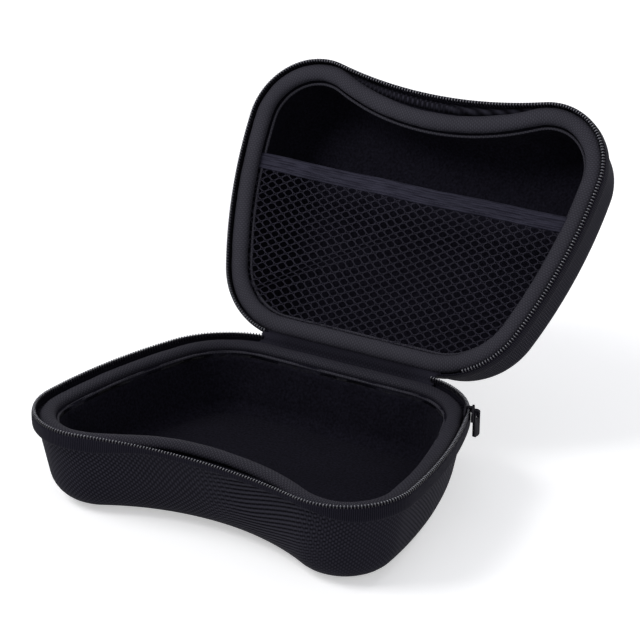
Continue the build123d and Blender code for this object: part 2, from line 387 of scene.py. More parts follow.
def relief(tree, shader, height, depth, low, high, edges, mottle, shine=None):
    """Raises the threads by depth and colours them, from low in the gaps to high.

    The colour is a little mottled. With shine, the threads mirror more than the gaps.
    """
    if depth:
        raised = add(tree, "ShaderNodeBump", {"Distance": depth, "Height": height})
        tree.links.new(raised.outputs[0], shader.inputs["Normal"])
    threads = add(tree, "ShaderNodeMix", {
        "data_type": "RGBA", 0: mapped(tree, height, *edges), 6: tint(low), 7: tint(high)})
    patches = noise(tree, 28.0, 5.0, 0.6).outputs[0]
    level = mapped(tree, patches, 0.0, 1.0, 1 - mottle, 1 + mottle)
    mixed = vectors(tree, "SCALE", threads.outputs[2], level)
    tree.links.new(mixed, shader.inputs["Base Color"])
    if shine:
        gloss = mapped(tree, height, *edges, *shine)
        tree.links.new(gloss, shader.inputs["Specular IOR Level"])


def grained(name, values, scale, detail, depth, low, high, edges, mottle):
    """A finish with one fine noise for its relief."""
    made, tree, shader = material(name, values)
    grain = noise(tree, scale, detail).outputs[0]
    relief(tree, shader, grain, depth, low, high, edges, mottle)
    return made

# %% [markdown]
# Ballistic nylon, plain woven from thick filament yarn and laminated to the foam board.
# Each crossing stands up as a small dot that catches the light, so the wall shows columns
# of staggered dots 1.4 mm apart. Where the cloth is stretched beside the waist the rows
# pull apart and show as fine lines along the wall, and round the lobe next to it the press
# left the dots faint. Elsewhere the weave shows more or less from place to place. Both
# zones are given by their place along the rim, in mm.

# %% Woven nylon
drawn_lines = {"middle": half_run - 36, "inner": 16, "outer": 42}
faint_dots = {"middle": half_run - 100, "inner": 10, "outer": 38}


def woven_nylon():
    made, tree, shader = material("ballistic nylon, plain weave", {"Roughness": 0.75})
    along, across = cloth_lay(tree, wander=0.006, scale=16.0)
    crossings = plain_weave(tree, along, across, 0.00275, 0.0022, 0.4)
    lines = wave(tree, maths(tree, "MULTIPLY_ADD", along, -0.2, across), 0.0017)
    stretched = zone(tree, along, **drawn_lines, inside=0.85, outside=0.0)
    threads = add(tree, "ShaderNodeMix", {
        "data_type": "FLOAT", 0: stretched, 2: crossings, 3: lines}).outputs[0]
    level = mapped(tree, noise(tree, 14.0, 1.0).outputs[0], 0.35, 0.65, 0.4, 1.0)
    level = maths(tree, "MULTIPLY", level,
                  zone(tree, along, **faint_dots, inside=0.45, outside=1.0))
    height = maths(tree, "MULTIPLY", threads, level)
    relief(tree, shader, height, 0.00012, "#08070B", "#302F39", (-0.9, 1.1), 0.2, (0.01, 0.08))
    return made

# %% [markdown]
# Zip tape is a fine woven polyester band. Its ribs stand across its length and are less
# than half a millimetre apart, so they are drawn at 0.9 mm, the finest that still shows.

# %% Zip tape
def zip_tape_cloth():
    made, tree, shader = material("polyester zip tape, fine rib", {"Roughness": 0.7})
    ribs = wave(tree, cloth_lay(tree, wander=0.001)[0], 0.0009)
    relief(tree, shader, ribs, 0.00006, "#100F16", "#201F28", (-1.0, 1.0), 0.25, (0.02, 0.05))
    return made

# %% [markdown]
# The rolls are covered in woven binding tape. Its threads stand up as dots, a little finer
# than those of the wall, and a slow stretch round the corners makes them fan out. The
# strip inside the hinge is the same tape painted darker, as painted shade where it lies in a
# fold, with painted light brightening its ends; the cords in the coils get the same painted
# shade all along.

# %% Binding tape
def binding_tape(name, low, high, shine, painted_light_ends=None):
    """Binding tape. With ends in mm from its middle, painted light makes it brighter beyond them.
    """
    made, tree, shader = material(name, {"Roughness": 0.65})
    along, across = cloth_lay(tree, wander=0.0015)
    both = plain_weave(tree, along, across, 0.0022, 0.0018, 0.7)
    if painted_light_ends:
        both = maths(tree, "ADD", both, zone(tree, along, 0.0, *painted_light_ends, 0.0, 2.4))
    relief(tree, shader, both, 0.00006, low, high, (-1.7, 1.7), 0.25, shine)
    return made

# %% [markdown]
# The inside is lined with brushed tricot, a thin knit with a short soft nap. It drinks
# light: nearly black when looked into, with a faint grey bloom where it turns away.

# %% Tricot lining
lining_cloth = grained(
    "brushed tricot knit",
    {"Roughness": 0.92, "Specular IOR Level": 0.03, "Sheen Weight": 0.03, "Sheen Roughness": 0.4},
    900.0, 3.0, 0.00012, "#0C0B11", "#1A1922", (0.3, 0.7), 0.3)

# %% [markdown]
# Knitted elastic has cords of rubber running its whole length, which show as fine ribs
# lengthways. They pull unevenly, so long streaks run along the band.

# %% Knitted elastic
def elastic():
    made, tree, shader = material("knitted elastic band", {
        "Roughness": 0.66, "Specular IOR Level": 0.05,
    })
    along, across = cloth_lay(tree, wander=0.0006)
    place = add(tree, "ShaderNodeCombineXYZ", {"X": along, "Y": across}).outputs[0]
    drawn = vectors(tree, "MULTIPLY", place, (90.0, 900.0, 0.0))
    pulled = add(tree, "ShaderNodeTexNoise", {"Vector": drawn, "Scale": 1.0, "Detail": 2.0})
    streaks = mapped(tree, pulled.outputs[0], 0.35, 0.65, -1.6, 1.6)
    knit = maths(tree, "MULTIPLY_ADD", wave(tree, along, 0.0008), 0.3, wave(tree, across, 0.0011))
    both = maths(tree, "ADD", knit, streaks)
    relief(tree, shader, both, 0.00009, "#1C1B25", "#3A3946", (-2.6, 2.6), 0.3)
    return made

# %% [markdown]
# The net is warp-knitted from textured polyester yarn, dull and slightly fuzzy. The coil
# of the zip is a bent nylon monofilament: smooth, hard and glossy, with a painted highlight
# laid pale on the heads of its turns. The slider is die-cast zinc under black paint.

# %% Yarn, coil and painted zinc
net_yarn = grained(
    "polyester net yarn", {"Roughness": 0.7, "Specular IOR Level": 0.08},
    2500.0, 2.0, 0.00008, "#1C1B23", "#312F3A", (0.3, 0.7), 0.25)
painted_zinc = grained(
    "die-cast zinc, black paint", {"Roughness": 0.55, "Specular IOR Level": 0.06},
    700.0, 4.0, 0.00003, "#100F14", "#1C1B22", (0.35, 0.75), 0.15)


def nylon_coil():
    made, tree, shader = material("nylon monofilament coil, painted highlight", {
        "Roughness": 0.3, "Specular IOR Level": 0.3, "Coat Weight": 0.4, "Coat Roughness": 0.15,
    })
    # The heads of the turns are painted pale: a painted highlight where the lamps glint.
    painted_highlight = add(tree, "ShaderNodeAttribute", {"attribute_name": "head"})
    relief(tree, shader, painted_highlight.outputs["Fac"], 0.0, "#1C1B21", "#8A8A92", (0.86, 1.1), 0.1)
    return made


finishes = {
    "woven_nylon": woven_nylon(),
    "zip_tape_cloth": zip_tape_cloth(),
    "ribbed_binding": binding_tape("woven binding tape", "#1F1E24", "#424149", (0.04, 0.12)),
    "lining_cloth": lining_cloth,
    "elastic_cloth": elastic(),
    "net_cord": net_yarn,
    "nylon_coil": nylon_coil(),
    "slider_metal": painted_zinc,
}
# Tape painted darker as shade, for the fold inside the hinge and the cords inside the coils; the
# hinge strip is also painted lighter towards its ends as painted light.
painted_shade_look = ("#0E0D12", "#22212A", (0.01, 0.04))
shade_painted_tape = binding_tape("woven binding tape, painted shade", *painted_shade_look)
hinge_tape = binding_tape("woven binding tape of the hinge, painted shade and light", *painted_shade_look, (32, 50))
# The same tape twice: darker on the base roll as painted shade inside the tray, lighter on the
# lid roll as painted light where it faces the lamps.
roll_tapes_lit_and_shaded = {
    "base": binding_tape("woven binding tape of the base, painted shade", "#111016", "#36353D", (0.03, 0.10)),
    "lid": binding_tape("woven binding tape of the lid, painted light", "#26252B", "#3F3E46", (0.05, 0.11)),
}

# %% [markdown]
# Every finished piece goes through the same last step: it gets its finish, stands for its
# solid in the frame and rides on the body that the solid belongs to.

# %% Seat a piece in the frame
def seat(piece, slot, body, *stands_for, finish=None):
    """Gives a piece its finish and its body, and hides the solids that it stands for."""
    piece.data.materials.clear()
    piece.data.materials.append(finish or finishes[slot])
    if body:
        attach(piece, body)
    if stands_for:
        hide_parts(*stands_for)
    return piece


# %% [markdown]
# The trays are pressed from a flat sandwich of foam and cloth, so the skin has no seams:
# it leaves the flange at the rim, steps in, runs down a leaning wall and rolls over into
# the floor. The profile is one list of insets and depths. Past the round edge the rows
# shrink towards the middle of the floor, where the lid is slightly crowned. A swell makes
# soft cloth rise and dip along the wall.

# %% The tray profile
floor_centre = np.array([0.0, 9.0])
floor_shares = (0.86, 0.68, 0.5, 0.3)
floor_reach = 45.0
swell_length = 9.0
profile_rows = 10


def outward(runs):
    """Unit vectors that point out of the outline at these runs."""
    vectors = ring(-1.0, waist_depth, runs) - ring(0.0, waist_depth, runs)
    return vectors / np.linalg.norm(vectors, axis=1, keepdims=True)


def waist_at(depth):
    """How deep the waist is at a depth behind the rim: leaned at the lip and on the wall."""
    if depth < band_height:
        return waist_depth + rim_waist_gap * (band_height - depth) / (band_height - lip_drop)
    return waist_depth + (depth - band_height) * math.tan(waist_draft)


def wall_profile(inset, depth, draft, bottom_round):
    """Insets and depths of the rows from the foot of the band to the edge of the floor."""
    round_depth = depth - bottom_round
    foot_depth = round_depth + bottom_round * math.sin(draft)
    foot_inset = inset + (foot_depth - band_height) * math.tan(draft)
    round_inset = foot_inset + bottom_round * math.cos(draft)
    rows = [(inset + (foot_inset - inset) * share,
             band_height + (foot_depth - band_height) * share)
            for share in np.linspace(0, 1, profile_rows, endpoint=False)]
    rows += [(round_inset - bottom_round * math.cos(angle),
              round_depth + bottom_round * math.sin(angle))
             for angle in np.linspace(draft, math.pi / 2, profile_rows)]
    return rows


def tray_rows(half, rim_rows, wall_rows, runs, crown, raised_from, swell):
    """Rows of points from the rim to the middle of the floor, with their travelled length.

    The third list is the plan of the floor's rows in metres, where the cloth lies flat.
    """
    rows, travel = [], []
    first, second = ripple(runs, 1, 60.0), ripple(runs, 2, 60.0)
    for inset, depth in rim_rows + wall_rows:
        turn = depth / swell_length
        soft = swell * (first * math.cos(turn) + second * math.sin(turn))
        plan = ring(inset, waist_at(depth), runs) + soft[:, None] * outward(runs)
        rows.append(placed(
            half, plan, lifted(half, depth, runs) if depth >= raised_from else depth))
        travel.append((inset, depth))
    last_inset, last_depth = wall_rows[-1]
    edge = ring(last_inset, waist_at(last_depth), runs)
    plans = [edge * MM]
    for share in floor_shares:
        plan = floor_centre + (edge - floor_centre) * share
        rows.append(placed(half, plan, last_depth + crown * (1 - share**2)))
        travel.append((last_inset + floor_reach * (1 - share), last_depth))
        plans.append(plan * MM)
    return rows, lengths(np.array(travel)) * MM, plans

# %% [markdown]
# A closed tray is one loft from the middle of the inner floor, up the inner wall, over the
# lip and down the outside to the middle of the outer floor. The inner skin is hidden by
# the lining, so it only gives the cloth its thickness.

# %% Base and lid skins
ring_runs = np.linspace(0, full_run, 320, endpoint=False)
ring_along = np.append(ring_runs, full_run) * MM
tape_wall = 0.8
flange_step = 2.0
wall_inset = tape_wall + flange_step
halves = {
    "base": {"depth": 42.0, "draft": math.radians(11.5), "round": 15.5, "crown": 0.0},
    "lid": {"depth": 38.5, "draft": math.radians(5.8), "round": 14.0, "crown": 1.4},
}


def tray(half, name, gap, thick, rim_rows, inner_rim_rows, swell=0.0, raised_from=band_height):
    """A closed tray skin: outer surface at gap inside the moulded form, thick mm thick."""
    size = halves[half]

    def skin(inside, rim, raised, soft):
        wall = wall_profile(wall_inset + inside, size["depth"] - inside, size["draft"],
                            size["round"] - inside)
        return tray_rows(half, rim, wall, ring_runs, size["crown"], raised, soft)

    outer, outer_travel, outer_floor = skin(gap, rim_rows, raised_from, 0.0)
    inner, inner_travel, inner_floor = skin(gap + thick, inner_rim_rows, band_height, swell)
    travel = np.concatenate([-inner_travel[::-1] - MM, outer_travel])
    flat = dict(enumerate(inner_floor[::-1]))
    flat.update(enumerate(outer_floor, len(travel) - len(outer_floor)))
    return loft(name, inner[::-1] + outer, ring_along, travel, flat=flat)


for half in ("base", "lid"):
    flange = [(tape_wall + 0.1, lip_drop), (tape_wall + 0.1, 6.6), (tape_wall + 0.4, 7.2),
              (wall_inset - 0.5, 7.5)]
    inside = [(tape_wall + 3.0, lip_drop), (tape_wall + 3.2, 7.0)]
    skin = tray(half, f"{half}_nylon_skin", 0.0, 1.4, flange, inside, raised_from=0.0)
    seat(skin, "woven_nylon", half, f"{half}_shell")

# %% [markdown]
# The lining is a soft pad inside the skin. It starts under the rim roll, and its surface
# is not as true as a mould: it swells a little and dips a little along the wall.

# %% Base and lid linings
for half, gap, thick in (("base", 4.5, 4.5), ("lid", 2.4, 0.8)):
    outer_rim = [(wall_inset + gap, lip_drop)]
    inner_rim = [(wall_inset + gap + thick, lip_drop), (wall_inset + gap + thick, 8.0)]
    pad = tray(half, f"{half}_padded_lining", gap, thick, outer_rim, inner_rim, 0.35)
    seat(pad, "lining_cloth", half, f"{half}_lining")

# %% [markdown]
# Three bands run round each rim. From the outside in they are the zip tape, which wraps
# the flange and ends on the wall, the padded roll in its binding tape, which rides up at
# the waist, and a thin bead where the lining is sewn to that roll. Each is a loft whose
# rows close on themselves, so a band is only a list of section points.

# %% Bands along the rim
roll_rise = {"base": 2.4, "lid": 0.3}
rise_left, rise_right, rise_fade = -10.0, 45.0, 45.0


def rolled(half, depth, runs):
    """Depth behind the rim with the padded roll riding up at the waist."""
    return depth - roll_rise[half] * waist_share(runs, rise_left, rise_right, rise_fade)


def band(half, name, section, runs, whole, waist, level, wobble=0.0, seed=3):
    """A closed band along the rim: section is a loop of (inset, depth) points."""
    section = np.array(section, float)
    middle = section.mean(0)
    soft = 1 + wobble * ripple(runs, seed, 34.0)
    rows = []
    for inset, depth in section:
        side = (inset - middle[0]) * (soft - 1)
        lift = (depth - middle[1]) * (soft - 1)
        plan = ring(inset, waist(depth), runs) - side[:, None] * outward(runs)
        rows.append(placed(half, plan, level(half, depth, runs) + lift))
    return tube(name, rows, section, runs, full_run if whole else None)


def rounded(centre, half_size, power, count=20):
    """Loop of points of a rounded box with its middle at centre."""
    angles = np.linspace(0, 2 * math.pi, count, endpoint=False)
    cosine, sine = np.cos(angles), np.sin(angles)
    x = np.sign(cosine) * np.abs(cosine) ** (2 / power)
    y = np.sign(sine) * np.abs(sine) ** (2 / power)
    return np.stack([centre[0] + half_size[0] * x, centre[1] + half_size[1] * y], -1)


tape_section = [
    (0.75, 0.95), (0.4, 0.65), (0.1, 0.9), (0.0, 1.8), (0.0, 3.2), (0.0, 4.6), (0.05, 5.8),
    (0.2, 6.7), (0.6, 7.35), (1.3, 7.65), (2.2, 7.75), (3.0, 7.8), (3.0, 7.3), (1.3, 7.1),
    (0.85, 6.4), (0.8, 4.5), (0.8, 2.5),
]
tape_runs = np.linspace(hinge_half - 1.5, full_run - hinge_half + 1.5, 420)
roll_runs = np.linspace(0, full_run, 420, endpoint=False)
roll_waist = waist_depth + rim_waist_gap + 3.0
roll_sizes = {"base": ((7.1, 4.0), (3.7, 2.4)), "lid": ((6.3, 3.3), (4.1, 2.7))}
for half in ("base", "lid"):
    tape = band(half, f"{half}_zip_tape_cloth", tape_section, tape_runs, False,
                lambda depth: waist_depth + max(0, depth - band_height) * math.tan(waist_draft),
                lifted)
    seat(tape, "zip_tape_cloth", half, f"{half}_zip_tape")
    middle, half_size = roll_sizes[half]
    roll = band(half, f"{half}_rim_roll", rounded(middle, half_size, 2.1), roll_runs,
                True, lambda depth: roll_waist, rolled, 0.035, 5)
    seat(roll, "ribbed_binding", half, f"{half}_binding", finish=roll_tapes_lit_and_shaded[half])
    bead = band(half, f"{half}_lining_bead", rounded((11.5, 5.6), (0.65, 0.65), 2.0, 10),
                roll_runs, True, lambda depth: roll_waist, rolled, 0.1, 9)
    seat(bead, "ribbed_binding", half)

# %% [markdown]
# Stitches are one small shape repeated along a line at an even pitch. That is work for
# Geometry Nodes: the tree takes a line, measures it off in steps, sets a rounded piece on
# each step with its long side along the line, and makes it all real. The pitch and the
# size are inputs.

# %% A tree that sets pieces along a line
def new_tree(name, **inputs):
    """A geometry tree with its named inputs and a material, and its first and last node."""
    tree = bpy.data.node_groups.new(name, "GeometryNodeTree")
    tree.is_modifier = True
    tree.interface.new_socket("Geometry", in_out="INPUT", socket_type="NodeSocketGeometry")
    for label, kind in {**inputs, "Material": "Material"}.items():
        tree.interface.new_socket(label, in_out="INPUT", socket_type="NodeSocket" + kind)
    tree.interface.new_socket("Geometry", in_out="OUTPUT", socket_type="NodeSocketGeometry")
    return tree, add(tree, "NodeGroupInput"), add(tree, "NodeGroupOutput")


def shape(tree, kind, settings=()):
    """The first result of a new geometry node."""
    return add(tree, "GeometryNode" + kind, settings).outputs[0]


def finish_tree(tree, entry, result, instances):
    """Real pieces, smooth faces and the material at the end of a tree."""
    real = shape(tree, "RealizeInstances", {0: instances})
    smooth = shape(tree, "SetShadeSmooth", {0: real})
    painted = shape(
        tree, "SetMaterial", {"Geometry": smooth, "Material": entry.outputs["Material"]})
    tree.links.new(painted, result.inputs[0])


def line_tree():
    """Rounded pieces set along a line at an even pitch."""
    tree, entry, result = new_tree("pieces_along_a_line", Pitch="Float", Size="Vector")
    line = shape(tree, "MeshToCurve", {0: entry.outputs["Geometry"]})
    steps = shape(tree, "ResampleCurve", {
        "mode": "LENGTH", "Curve": line, "Length": entry.outputs["Pitch"]})
    turn = add(tree, "FunctionNodeAlignRotationToVector", {
        "axis": "X", "pivot_axis": "Z", "Vector": shape(tree, "InputTangent")})
    ball = shape(tree, "MeshUVSphere", {"Segments": 8, "Rings": 6, "Radius": 0.5})
    sized = shape(tree, "Transform", {"Geometry": ball, "Scale": entry.outputs["Size"]})
    pieces = shape(tree, "InstanceOnPoints", {
        "Points": steps, "Instance": sized, "Rotation": turn.outputs[0]})
    finish_tree(tree, entry, result, pieces)
    return tree


def grown(name, source, tree, values):
    """Runs a tree on a source mesh and gives its result as a plain mesh object."""
    carrier = show(name + "_source", source)
    modifier = carrier.modifiers.new(name, "NODES")
    modifier.node_group = tree
    sockets = {item.name: item.identifier for item in tree.interface.items_tree
               if item.in_out == "INPUT"}
    for label, value in values.items():
        modifier[sockets[label]] = value
    bpy.context.view_layer.update()
    shown = carrier.evaluated_get(bpy.context.evaluated_depsgraph_get())
    mesh = bpy.data.meshes.new_from_object(shown)
    mesh.name = name
    bpy.data.objects.remove(carrier)
    print(name, "faces:", len(mesh.polygons))
    return show(name, mesh)


def line_mesh(points):
    """A mesh of edges through these points, for a tree to follow."""
    mesh = bpy.data.meshes.new("line")
    edges = [(index, index + 1) for index in range(len(points) - 1)]
    mesh.from_pydata(np.asarray(points).tolist(), edges, [])
    return mesh


pieces_tree = line_tree()

# %% [markdown]
# The zip is a coil: one long nylon wire bent to a flat spring and sewn to the edge of each
# tape, whose turns mesh when the slider passes. Each turn goes straight up outside, bends
# over its head and comes straight down inside, and steps on to the next turn below, under
# the tape. The line of the wire is laid in the rim plane, where up is simply Z. A tree
# gives it its thickness, and the finished mesh is then carried to its half. It keeps the
# height of each point as head, from 0 at the foot to 1, so that the finish can paint a
# highlight on the heads. A cord fills the coil, as in a real one, in tape painted dark as
# shade, so that the turns stand out.

# %% Zip coils
def to_half(piece, half):
    """Carries a mesh from flat rim coordinates in metres, Z up out of the rim, to its half."""
    mesh = piece.data
    points = points_of(mesh) / MM
    moved = placed(half, points[:, :2], -points[:, 2])
    mesh.vertices.foreach_set("co", moved.ravel())
    if half == "lid":
        mesh.flip_normals()
    mesh.update()


def wire_tree():
    """A round wire along a line."""
    tree, entry, result = new_tree("round_wire", Thickness="Float")
    line = shape(tree, "MeshToCurve", {0: entry.outputs["Geometry"]})
    radius = maths(tree, "MULTIPLY", entry.outputs["Thickness"], 0.5)
    profile = shape(tree, "CurvePrimitiveCircle", {"Resolution": 6, "Radius": radius})
    wire = shape(tree, "CurveToMesh", {
        "Curve": line, "Profile Curve": profile, "Fill Caps": True})
    finish_tree(tree, entry, result, wire)
    return tree


coil_pitch, wire_thickness = 1.5, 0.52
coil_low, coil_head, coil_inset, coil_depth = -1.9, 0.4, 1.15, 0.62
coil_end = full_run - hinge_half - 2.0
# One turn as shares of the pitch, of the depth out of the tape and of the height
turn_shape = np.array([
    (-0.12, -1.0, 0.0), (0.0, -1.0, 0.25), (0.0, -1.0, 0.6), (0.0, -0.85, 0.86),
    (0.0, 0.0, 1.0), (0.0, 0.85, 0.86), (0.0, 1.0, 0.6), (0.0, 1.0, 0.25),
    (0.12, 1.0, 0.0), (0.5, 0.0, -0.1),
])
cord_section = rounded((coil_inset, 0.85), (0.36, 0.8), 2.5, 12)
wires = wire_tree()
for half, shift, first_run in (
    ("base", 0.0, hinge_half + 1.5), ("lid", coil_pitch / 2, hinge_half + 15.0),
):
    turns = np.arange(first_run + shift, coil_end, coil_pitch)
    steps = (turns[:, None] + turn_shape[:, 0] * coil_pitch).ravel()
    inset = coil_inset + coil_depth * np.tile(turn_shape[:, 1], len(turns))
    plan = ring(0.0, waist_depth, steps) - inset[:, None] * outward(steps)
    height = coil_low + (coil_head - coil_low) * np.tile(turn_shape[:, 2], len(turns))
    coil = grown(f"{half}_zip_coil", line_mesh(np.column_stack([plan, height]) * MM), wires, {
        "Thickness": wire_thickness * MM, "Material": finishes["nylon_coil"],
    })
    head = (points_of(coil.data)[:, 2] / MM - coil_low) / (coil_head - coil_low)
    coil.data.attributes.new("head", "FLOAT", "POINT").data.foreach_set("value", head)
    to_half(coil, half)
    seat(coil, "nylon_coil", half, f"{half}_zip_teeth")
    # The cord is in the tape painted dark as shade inside the coil.
    cord = band(half, f"{half}_coil_cord", cord_section,
                np.linspace(first_run, coil_end + 0.5, 420), False,
                lambda depth: waist_depth, lambda half, depth, runs: depth)
    seat(cord, "zip_tape_cloth", half, finish=shade_painted_tape)

# %% [markdown]
# The hinge is one strip of cloth outside and one inside, each glued to both halves. On
# the frame they are leaves that stop short of the hinge line. Here each is one piece that
# runs over the fold from the base to the open lid, and it is given to no body.

# %% Hinge strips
def hinge_strip(name, path, wall, half_length):
    """A strip along the hinge: path is (y, z) points in mm from the base to the lid."""
    path = np.array(path, float)
    along = np.gradient(path, axis=0)
    along /= np.linalg.norm(along, axis=1, keepdims=True)
    normal = np.stack([-along[:, 1], along[:, 0]], -1)
    loop = np.vstack([path + normal * wall / 2, (path - normal * wall / 2)[::-1]])
    columns = np.linspace(-half_length, half_length, 90)
    sag = 0.12 * np.sin(columns / 5.3) + 0.08 * np.sin(columns / 2.9)
    rows = [np.column_stack([columns, y + sag, z + sag * 0.4]) * MM for y, z in loop]
    return tube(name, rows, loop, columns)


def half_path(half, points):
    """(y, z) in mm of (inset, depth) points at the middle of the back of a half."""
    made = placed(half, np.array([[0.0, back_y - inset] for inset, _ in points]),
                  np.array([depth for _, depth in points]))
    return [tuple(point[1:] / MM) for point in made]


def strip_path(points, fold):
    """A path up the base, over the fold and down the lid: fold is from the hinge line."""
    over = [(hinge_y + y, rim_z + z) for y, z in fold]
    return half_path("base", points) + over + half_path("lid", points)[::-1]


outer_path = strip_path(
    [(2.9, 7.55), (1.6, 7.5), (0.7, 7.1), (0.35, 6.3), (0.3, 5.0), (0.3, 3.4), (0.3, 1.8)],
    [(-0.28, -0.7), (-0.05, 0.02), (0.36, 0.38)])
inner_path = strip_path(
    [(5.0, 3.6), (3.9, 3.0), (3.0, 3.3), (2.1, 3.2), (1.5, 2.2), (1.2, 1.2)], [(-0.95, 0.45)])
# The inner strip's tape is painted darker as shade, and lighter towards its ends as painted
# light.
for name, path, wall, half_length, slot, node, finish, base_side, lid_side in (
    ("outer_hinge_strip", outer_path, 0.7, hinge_half, "zip_tape_cloth", "hinge_cover", None,
     (0, 0, -1), (0, open_sine, open_cosine)),
    ("inner_hinge_strip", inner_path, 0.8, hinge_half + 3, "ribbed_binding", "hinge_lining",
     hinge_tape, (0, -1, 0), (0, -open_cosine, open_sine)),
):
    strip = seat(hinge_strip(name, path, wall, half_length), slot, None,
                 f"base_{node}", f"lid_{node}", finish=finish)
    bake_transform(strip)

# %% [markdown]
# The pocket net is warp-knitted: every mesh is a rounded diamond of yarn that shares its
# sides with its neighbours. The tree lays two staggered grids of points over the mouth of
# the lid, keeps the points that lie above the field of the pocket, and draws one rounded
# diamond on each. The mesh is then pulled a little out of true and carried to the lid.

# %% The pocket net
def net_tree():
    """Rounded diamonds of yarn on two staggered grids, kept where they hit the field."""
    tree, entry, result = new_tree(
        "knitted_net", Width="Float", Height="Float", Corner="Float", Yarn="Float",
        Columns="Int", Rows="Int")
    field, wide, high, corner, yarn, columns, rows = entry.outputs[:7]

    def span(count, pitch):
        return maths(tree, "MULTIPLY", maths(tree, "SUBTRACT", count, 1.0), pitch)

    grid = shape(tree, "MeshGrid", {
        "Size X": span(columns, wide), "Size Y": span(rows, high),
        "Vertices X": columns, "Vertices Y": rows})
    shift = add(tree, "ShaderNodeCombineXYZ", {
        "X": maths(tree, "MULTIPLY", wide, 0.5), "Y": maths(tree, "MULTIPLY", high, 0.5)})
    second = shape(tree, "Transform", {"Geometry": grid, "Translation": shift.outputs[0]})
    both = add(tree, "GeometryNodeJoinGeometry", {0: grid})
    tree.links.new(second, both.inputs[0])
    box = add(tree, "GeometryNodeBoundBox", {0: field}).outputs
    ends = vectors(tree, "ADD", box["Min"], box["Max"])
    middle = vectors(tree, "MULTIPLY", ends, (0.5, 0.5, 0.0))
    laid = shape(tree, "Transform", {"Geometry": both.outputs[0], "Translation": middle})
    over_field = shape(tree, "Raycast", {
        "Target Geometry": field, "Ray Direction": (0, 0, -1), "Ray Length": 0.1})
    half_high = maths(tree, "MULTIPLY", maths(tree, "SUBTRACT", high, yarn), 0.5)
    diamond = shape(tree, "CurvePrimitiveQuadrilateral", {
        "mode": "KITE", "Width": maths(tree, "SUBTRACT", wide, yarn),
        "Bottom Height": half_high, "Top Height": half_high})
    eased = shape(tree, "FilletCurve", {
        "mode": "POLY", "Count": 3, "Curve": diamond, "Radius": corner})
    profile = shape(tree, "CurvePrimitiveCircle", {"Resolution": 5, "Radius": yarn})
    loop = shape(tree, "CurveToMesh", {"Curve": eased, "Profile Curve": profile})
    pieces = shape(tree, "InstanceOnPoints", {
        "Points": laid, "Selection": over_field, "Instance": loop})
    finish_tree(tree, entry, result, pieces)
    return tree


pocket_edge_y = -9.7
net_depth = 5.5
field_depth = 10.0
field = ring(8.2, waist_depth + rim_waist_gap, np.linspace(0, full_run, 240, endpoint=False))
field = field[field[:, 1] > pocket_edge_y - 3.0]
field = field[np.argsort(np.arctan2(field[:, 1] - 20, field[:, 0]))]
field_mesh = bpy.data.meshes.new("pocket_field")
corners = np.column_stack([field, np.full(len(field), -field_depth)]) * MM
field_mesh.from_pydata(corners.tolist(), [], [list(range(len(corners)))])
net = grown("pocket_mesh_net", field_mesh, net_tree(), {
    "Width": 6.9 * MM, "Height": 4.15 * MM, "Corner": 1.0 * MM, "Yarn": 0.24 * MM,
    "Columns": 29, "Rows": 23, "Material": finishes["net_cord"],
})
points = points_of(net.data)
x, y = points[:, 0] / MM, points[:, 1] / MM
points[:, 0] += (0.7 * np.sin(y / 11) + 0.4 * np.sin(x / 19 + y / 23)) * MM
points[:, 1] += (0.9 * np.sin(x / 21 + 1) + 0.5 * np.sin(x / 9 + y / 15)) * MM
# An old crease runs from the corner of the pocket to its middle, and gathers the threads
crease_start, crease_way = (-62.0, 51.0), (0.822, -0.569)
crease_width, crease_gather = 5.0, 0.5
from_x, from_y = x - crease_start[0], y - crease_start[1]
along = from_x * crease_way[0] + from_y * crease_way[1]
beside = from_y * crease_way[0] - from_x * crease_way[1]
pull = smooth(-6, 6, along) * (1 - smooth(60, 95, along)) * np.exp(-(beside / crease_width) ** 2)
points[:, 0] += crease_gather * beside * pull * crease_way[1] * MM
points[:, 1] -= crease_gather * beside * pull * crease_way[0] * MM
belly = np.clip(1 - (x / 82) ** 2, 0, 1) * np.clip((68 - y) / 40, 0, 1)
points[:, 2] += (-net_depth + 1.4 * belly + 0.3 * np.sin(x / 7 + y / 12) + 0.5 * pull) * MM
net.data.vertices.foreach_set("co", points.ravel())
to_half(net, "lid")
seat(net, "net_cord", "lid", "pocket_net")

# %% [markdown]
# The elastic holds the open edge of the net. It is pulled nearly straight between the two
# sides of the lid, bows out a little in its middle, and its ends are tucked under the
# roll.

# %% The elastic band
elastic_width = 8.0
elastic_reach = 86.0
elastic_bow, elastic_belly = 0.9, 1.5
columns = np.linspace(-elastic_reach, elastic_reach, 120)
belly = 1 - (columns / elastic_reach) ** 2
section = rounded((pocket_edge_y - elastic_width / 2, 0.0), (elastic_width / 2, 0.6), 5.0, 28)
rows = []
for across, depth in section:
    bowed = across + elastic_bow * belly + 0.15 * np.sin(columns / 9)
    rows.append(placed("lid", np.stack([columns, bowed], -1),
                       net_depth + depth - elastic_belly * belly))
elastic_band = tube("pocket_elastic_band", rows, section, columns)
seat(elastic_band, "elastic_cloth", "lid", "pocket_elastic")
# A row of lockstitches holds the net behind the band, close to the band's lower edge
seam_x = np.linspace(-80.0, 80.0, 90)
seam_belly = 1 - (seam_x / elastic_reach) ** 2
seam = np.column_stack([seam_x, pocket_edge_y - 1.5 + elastic_bow * seam_belly,
                        elastic_belly * seam_belly - net_depth + 0.62])
stitches = grown("pocket_seam_stitches", line_mesh(seam * MM), pieces_tree, {
    "Pitch": 2.6 * MM, "Size": (1.9 * MM, 0.4 * MM, 0.3 * MM),
    "Material": finishes["elastic_cloth"],
})
to_half(stitches, "lid")
seat(stitches, "elastic_cloth", "lid")

# %% [markdown]
# The slider and its pull are die-cast, and their solids already have the right form.
# A copy of each gets its edges broken by a small bevel, because a cast edge is never
# sharp and the fine bright line along it is what says metal. The pull has play on its pin
# and hangs a little turned about the upright.

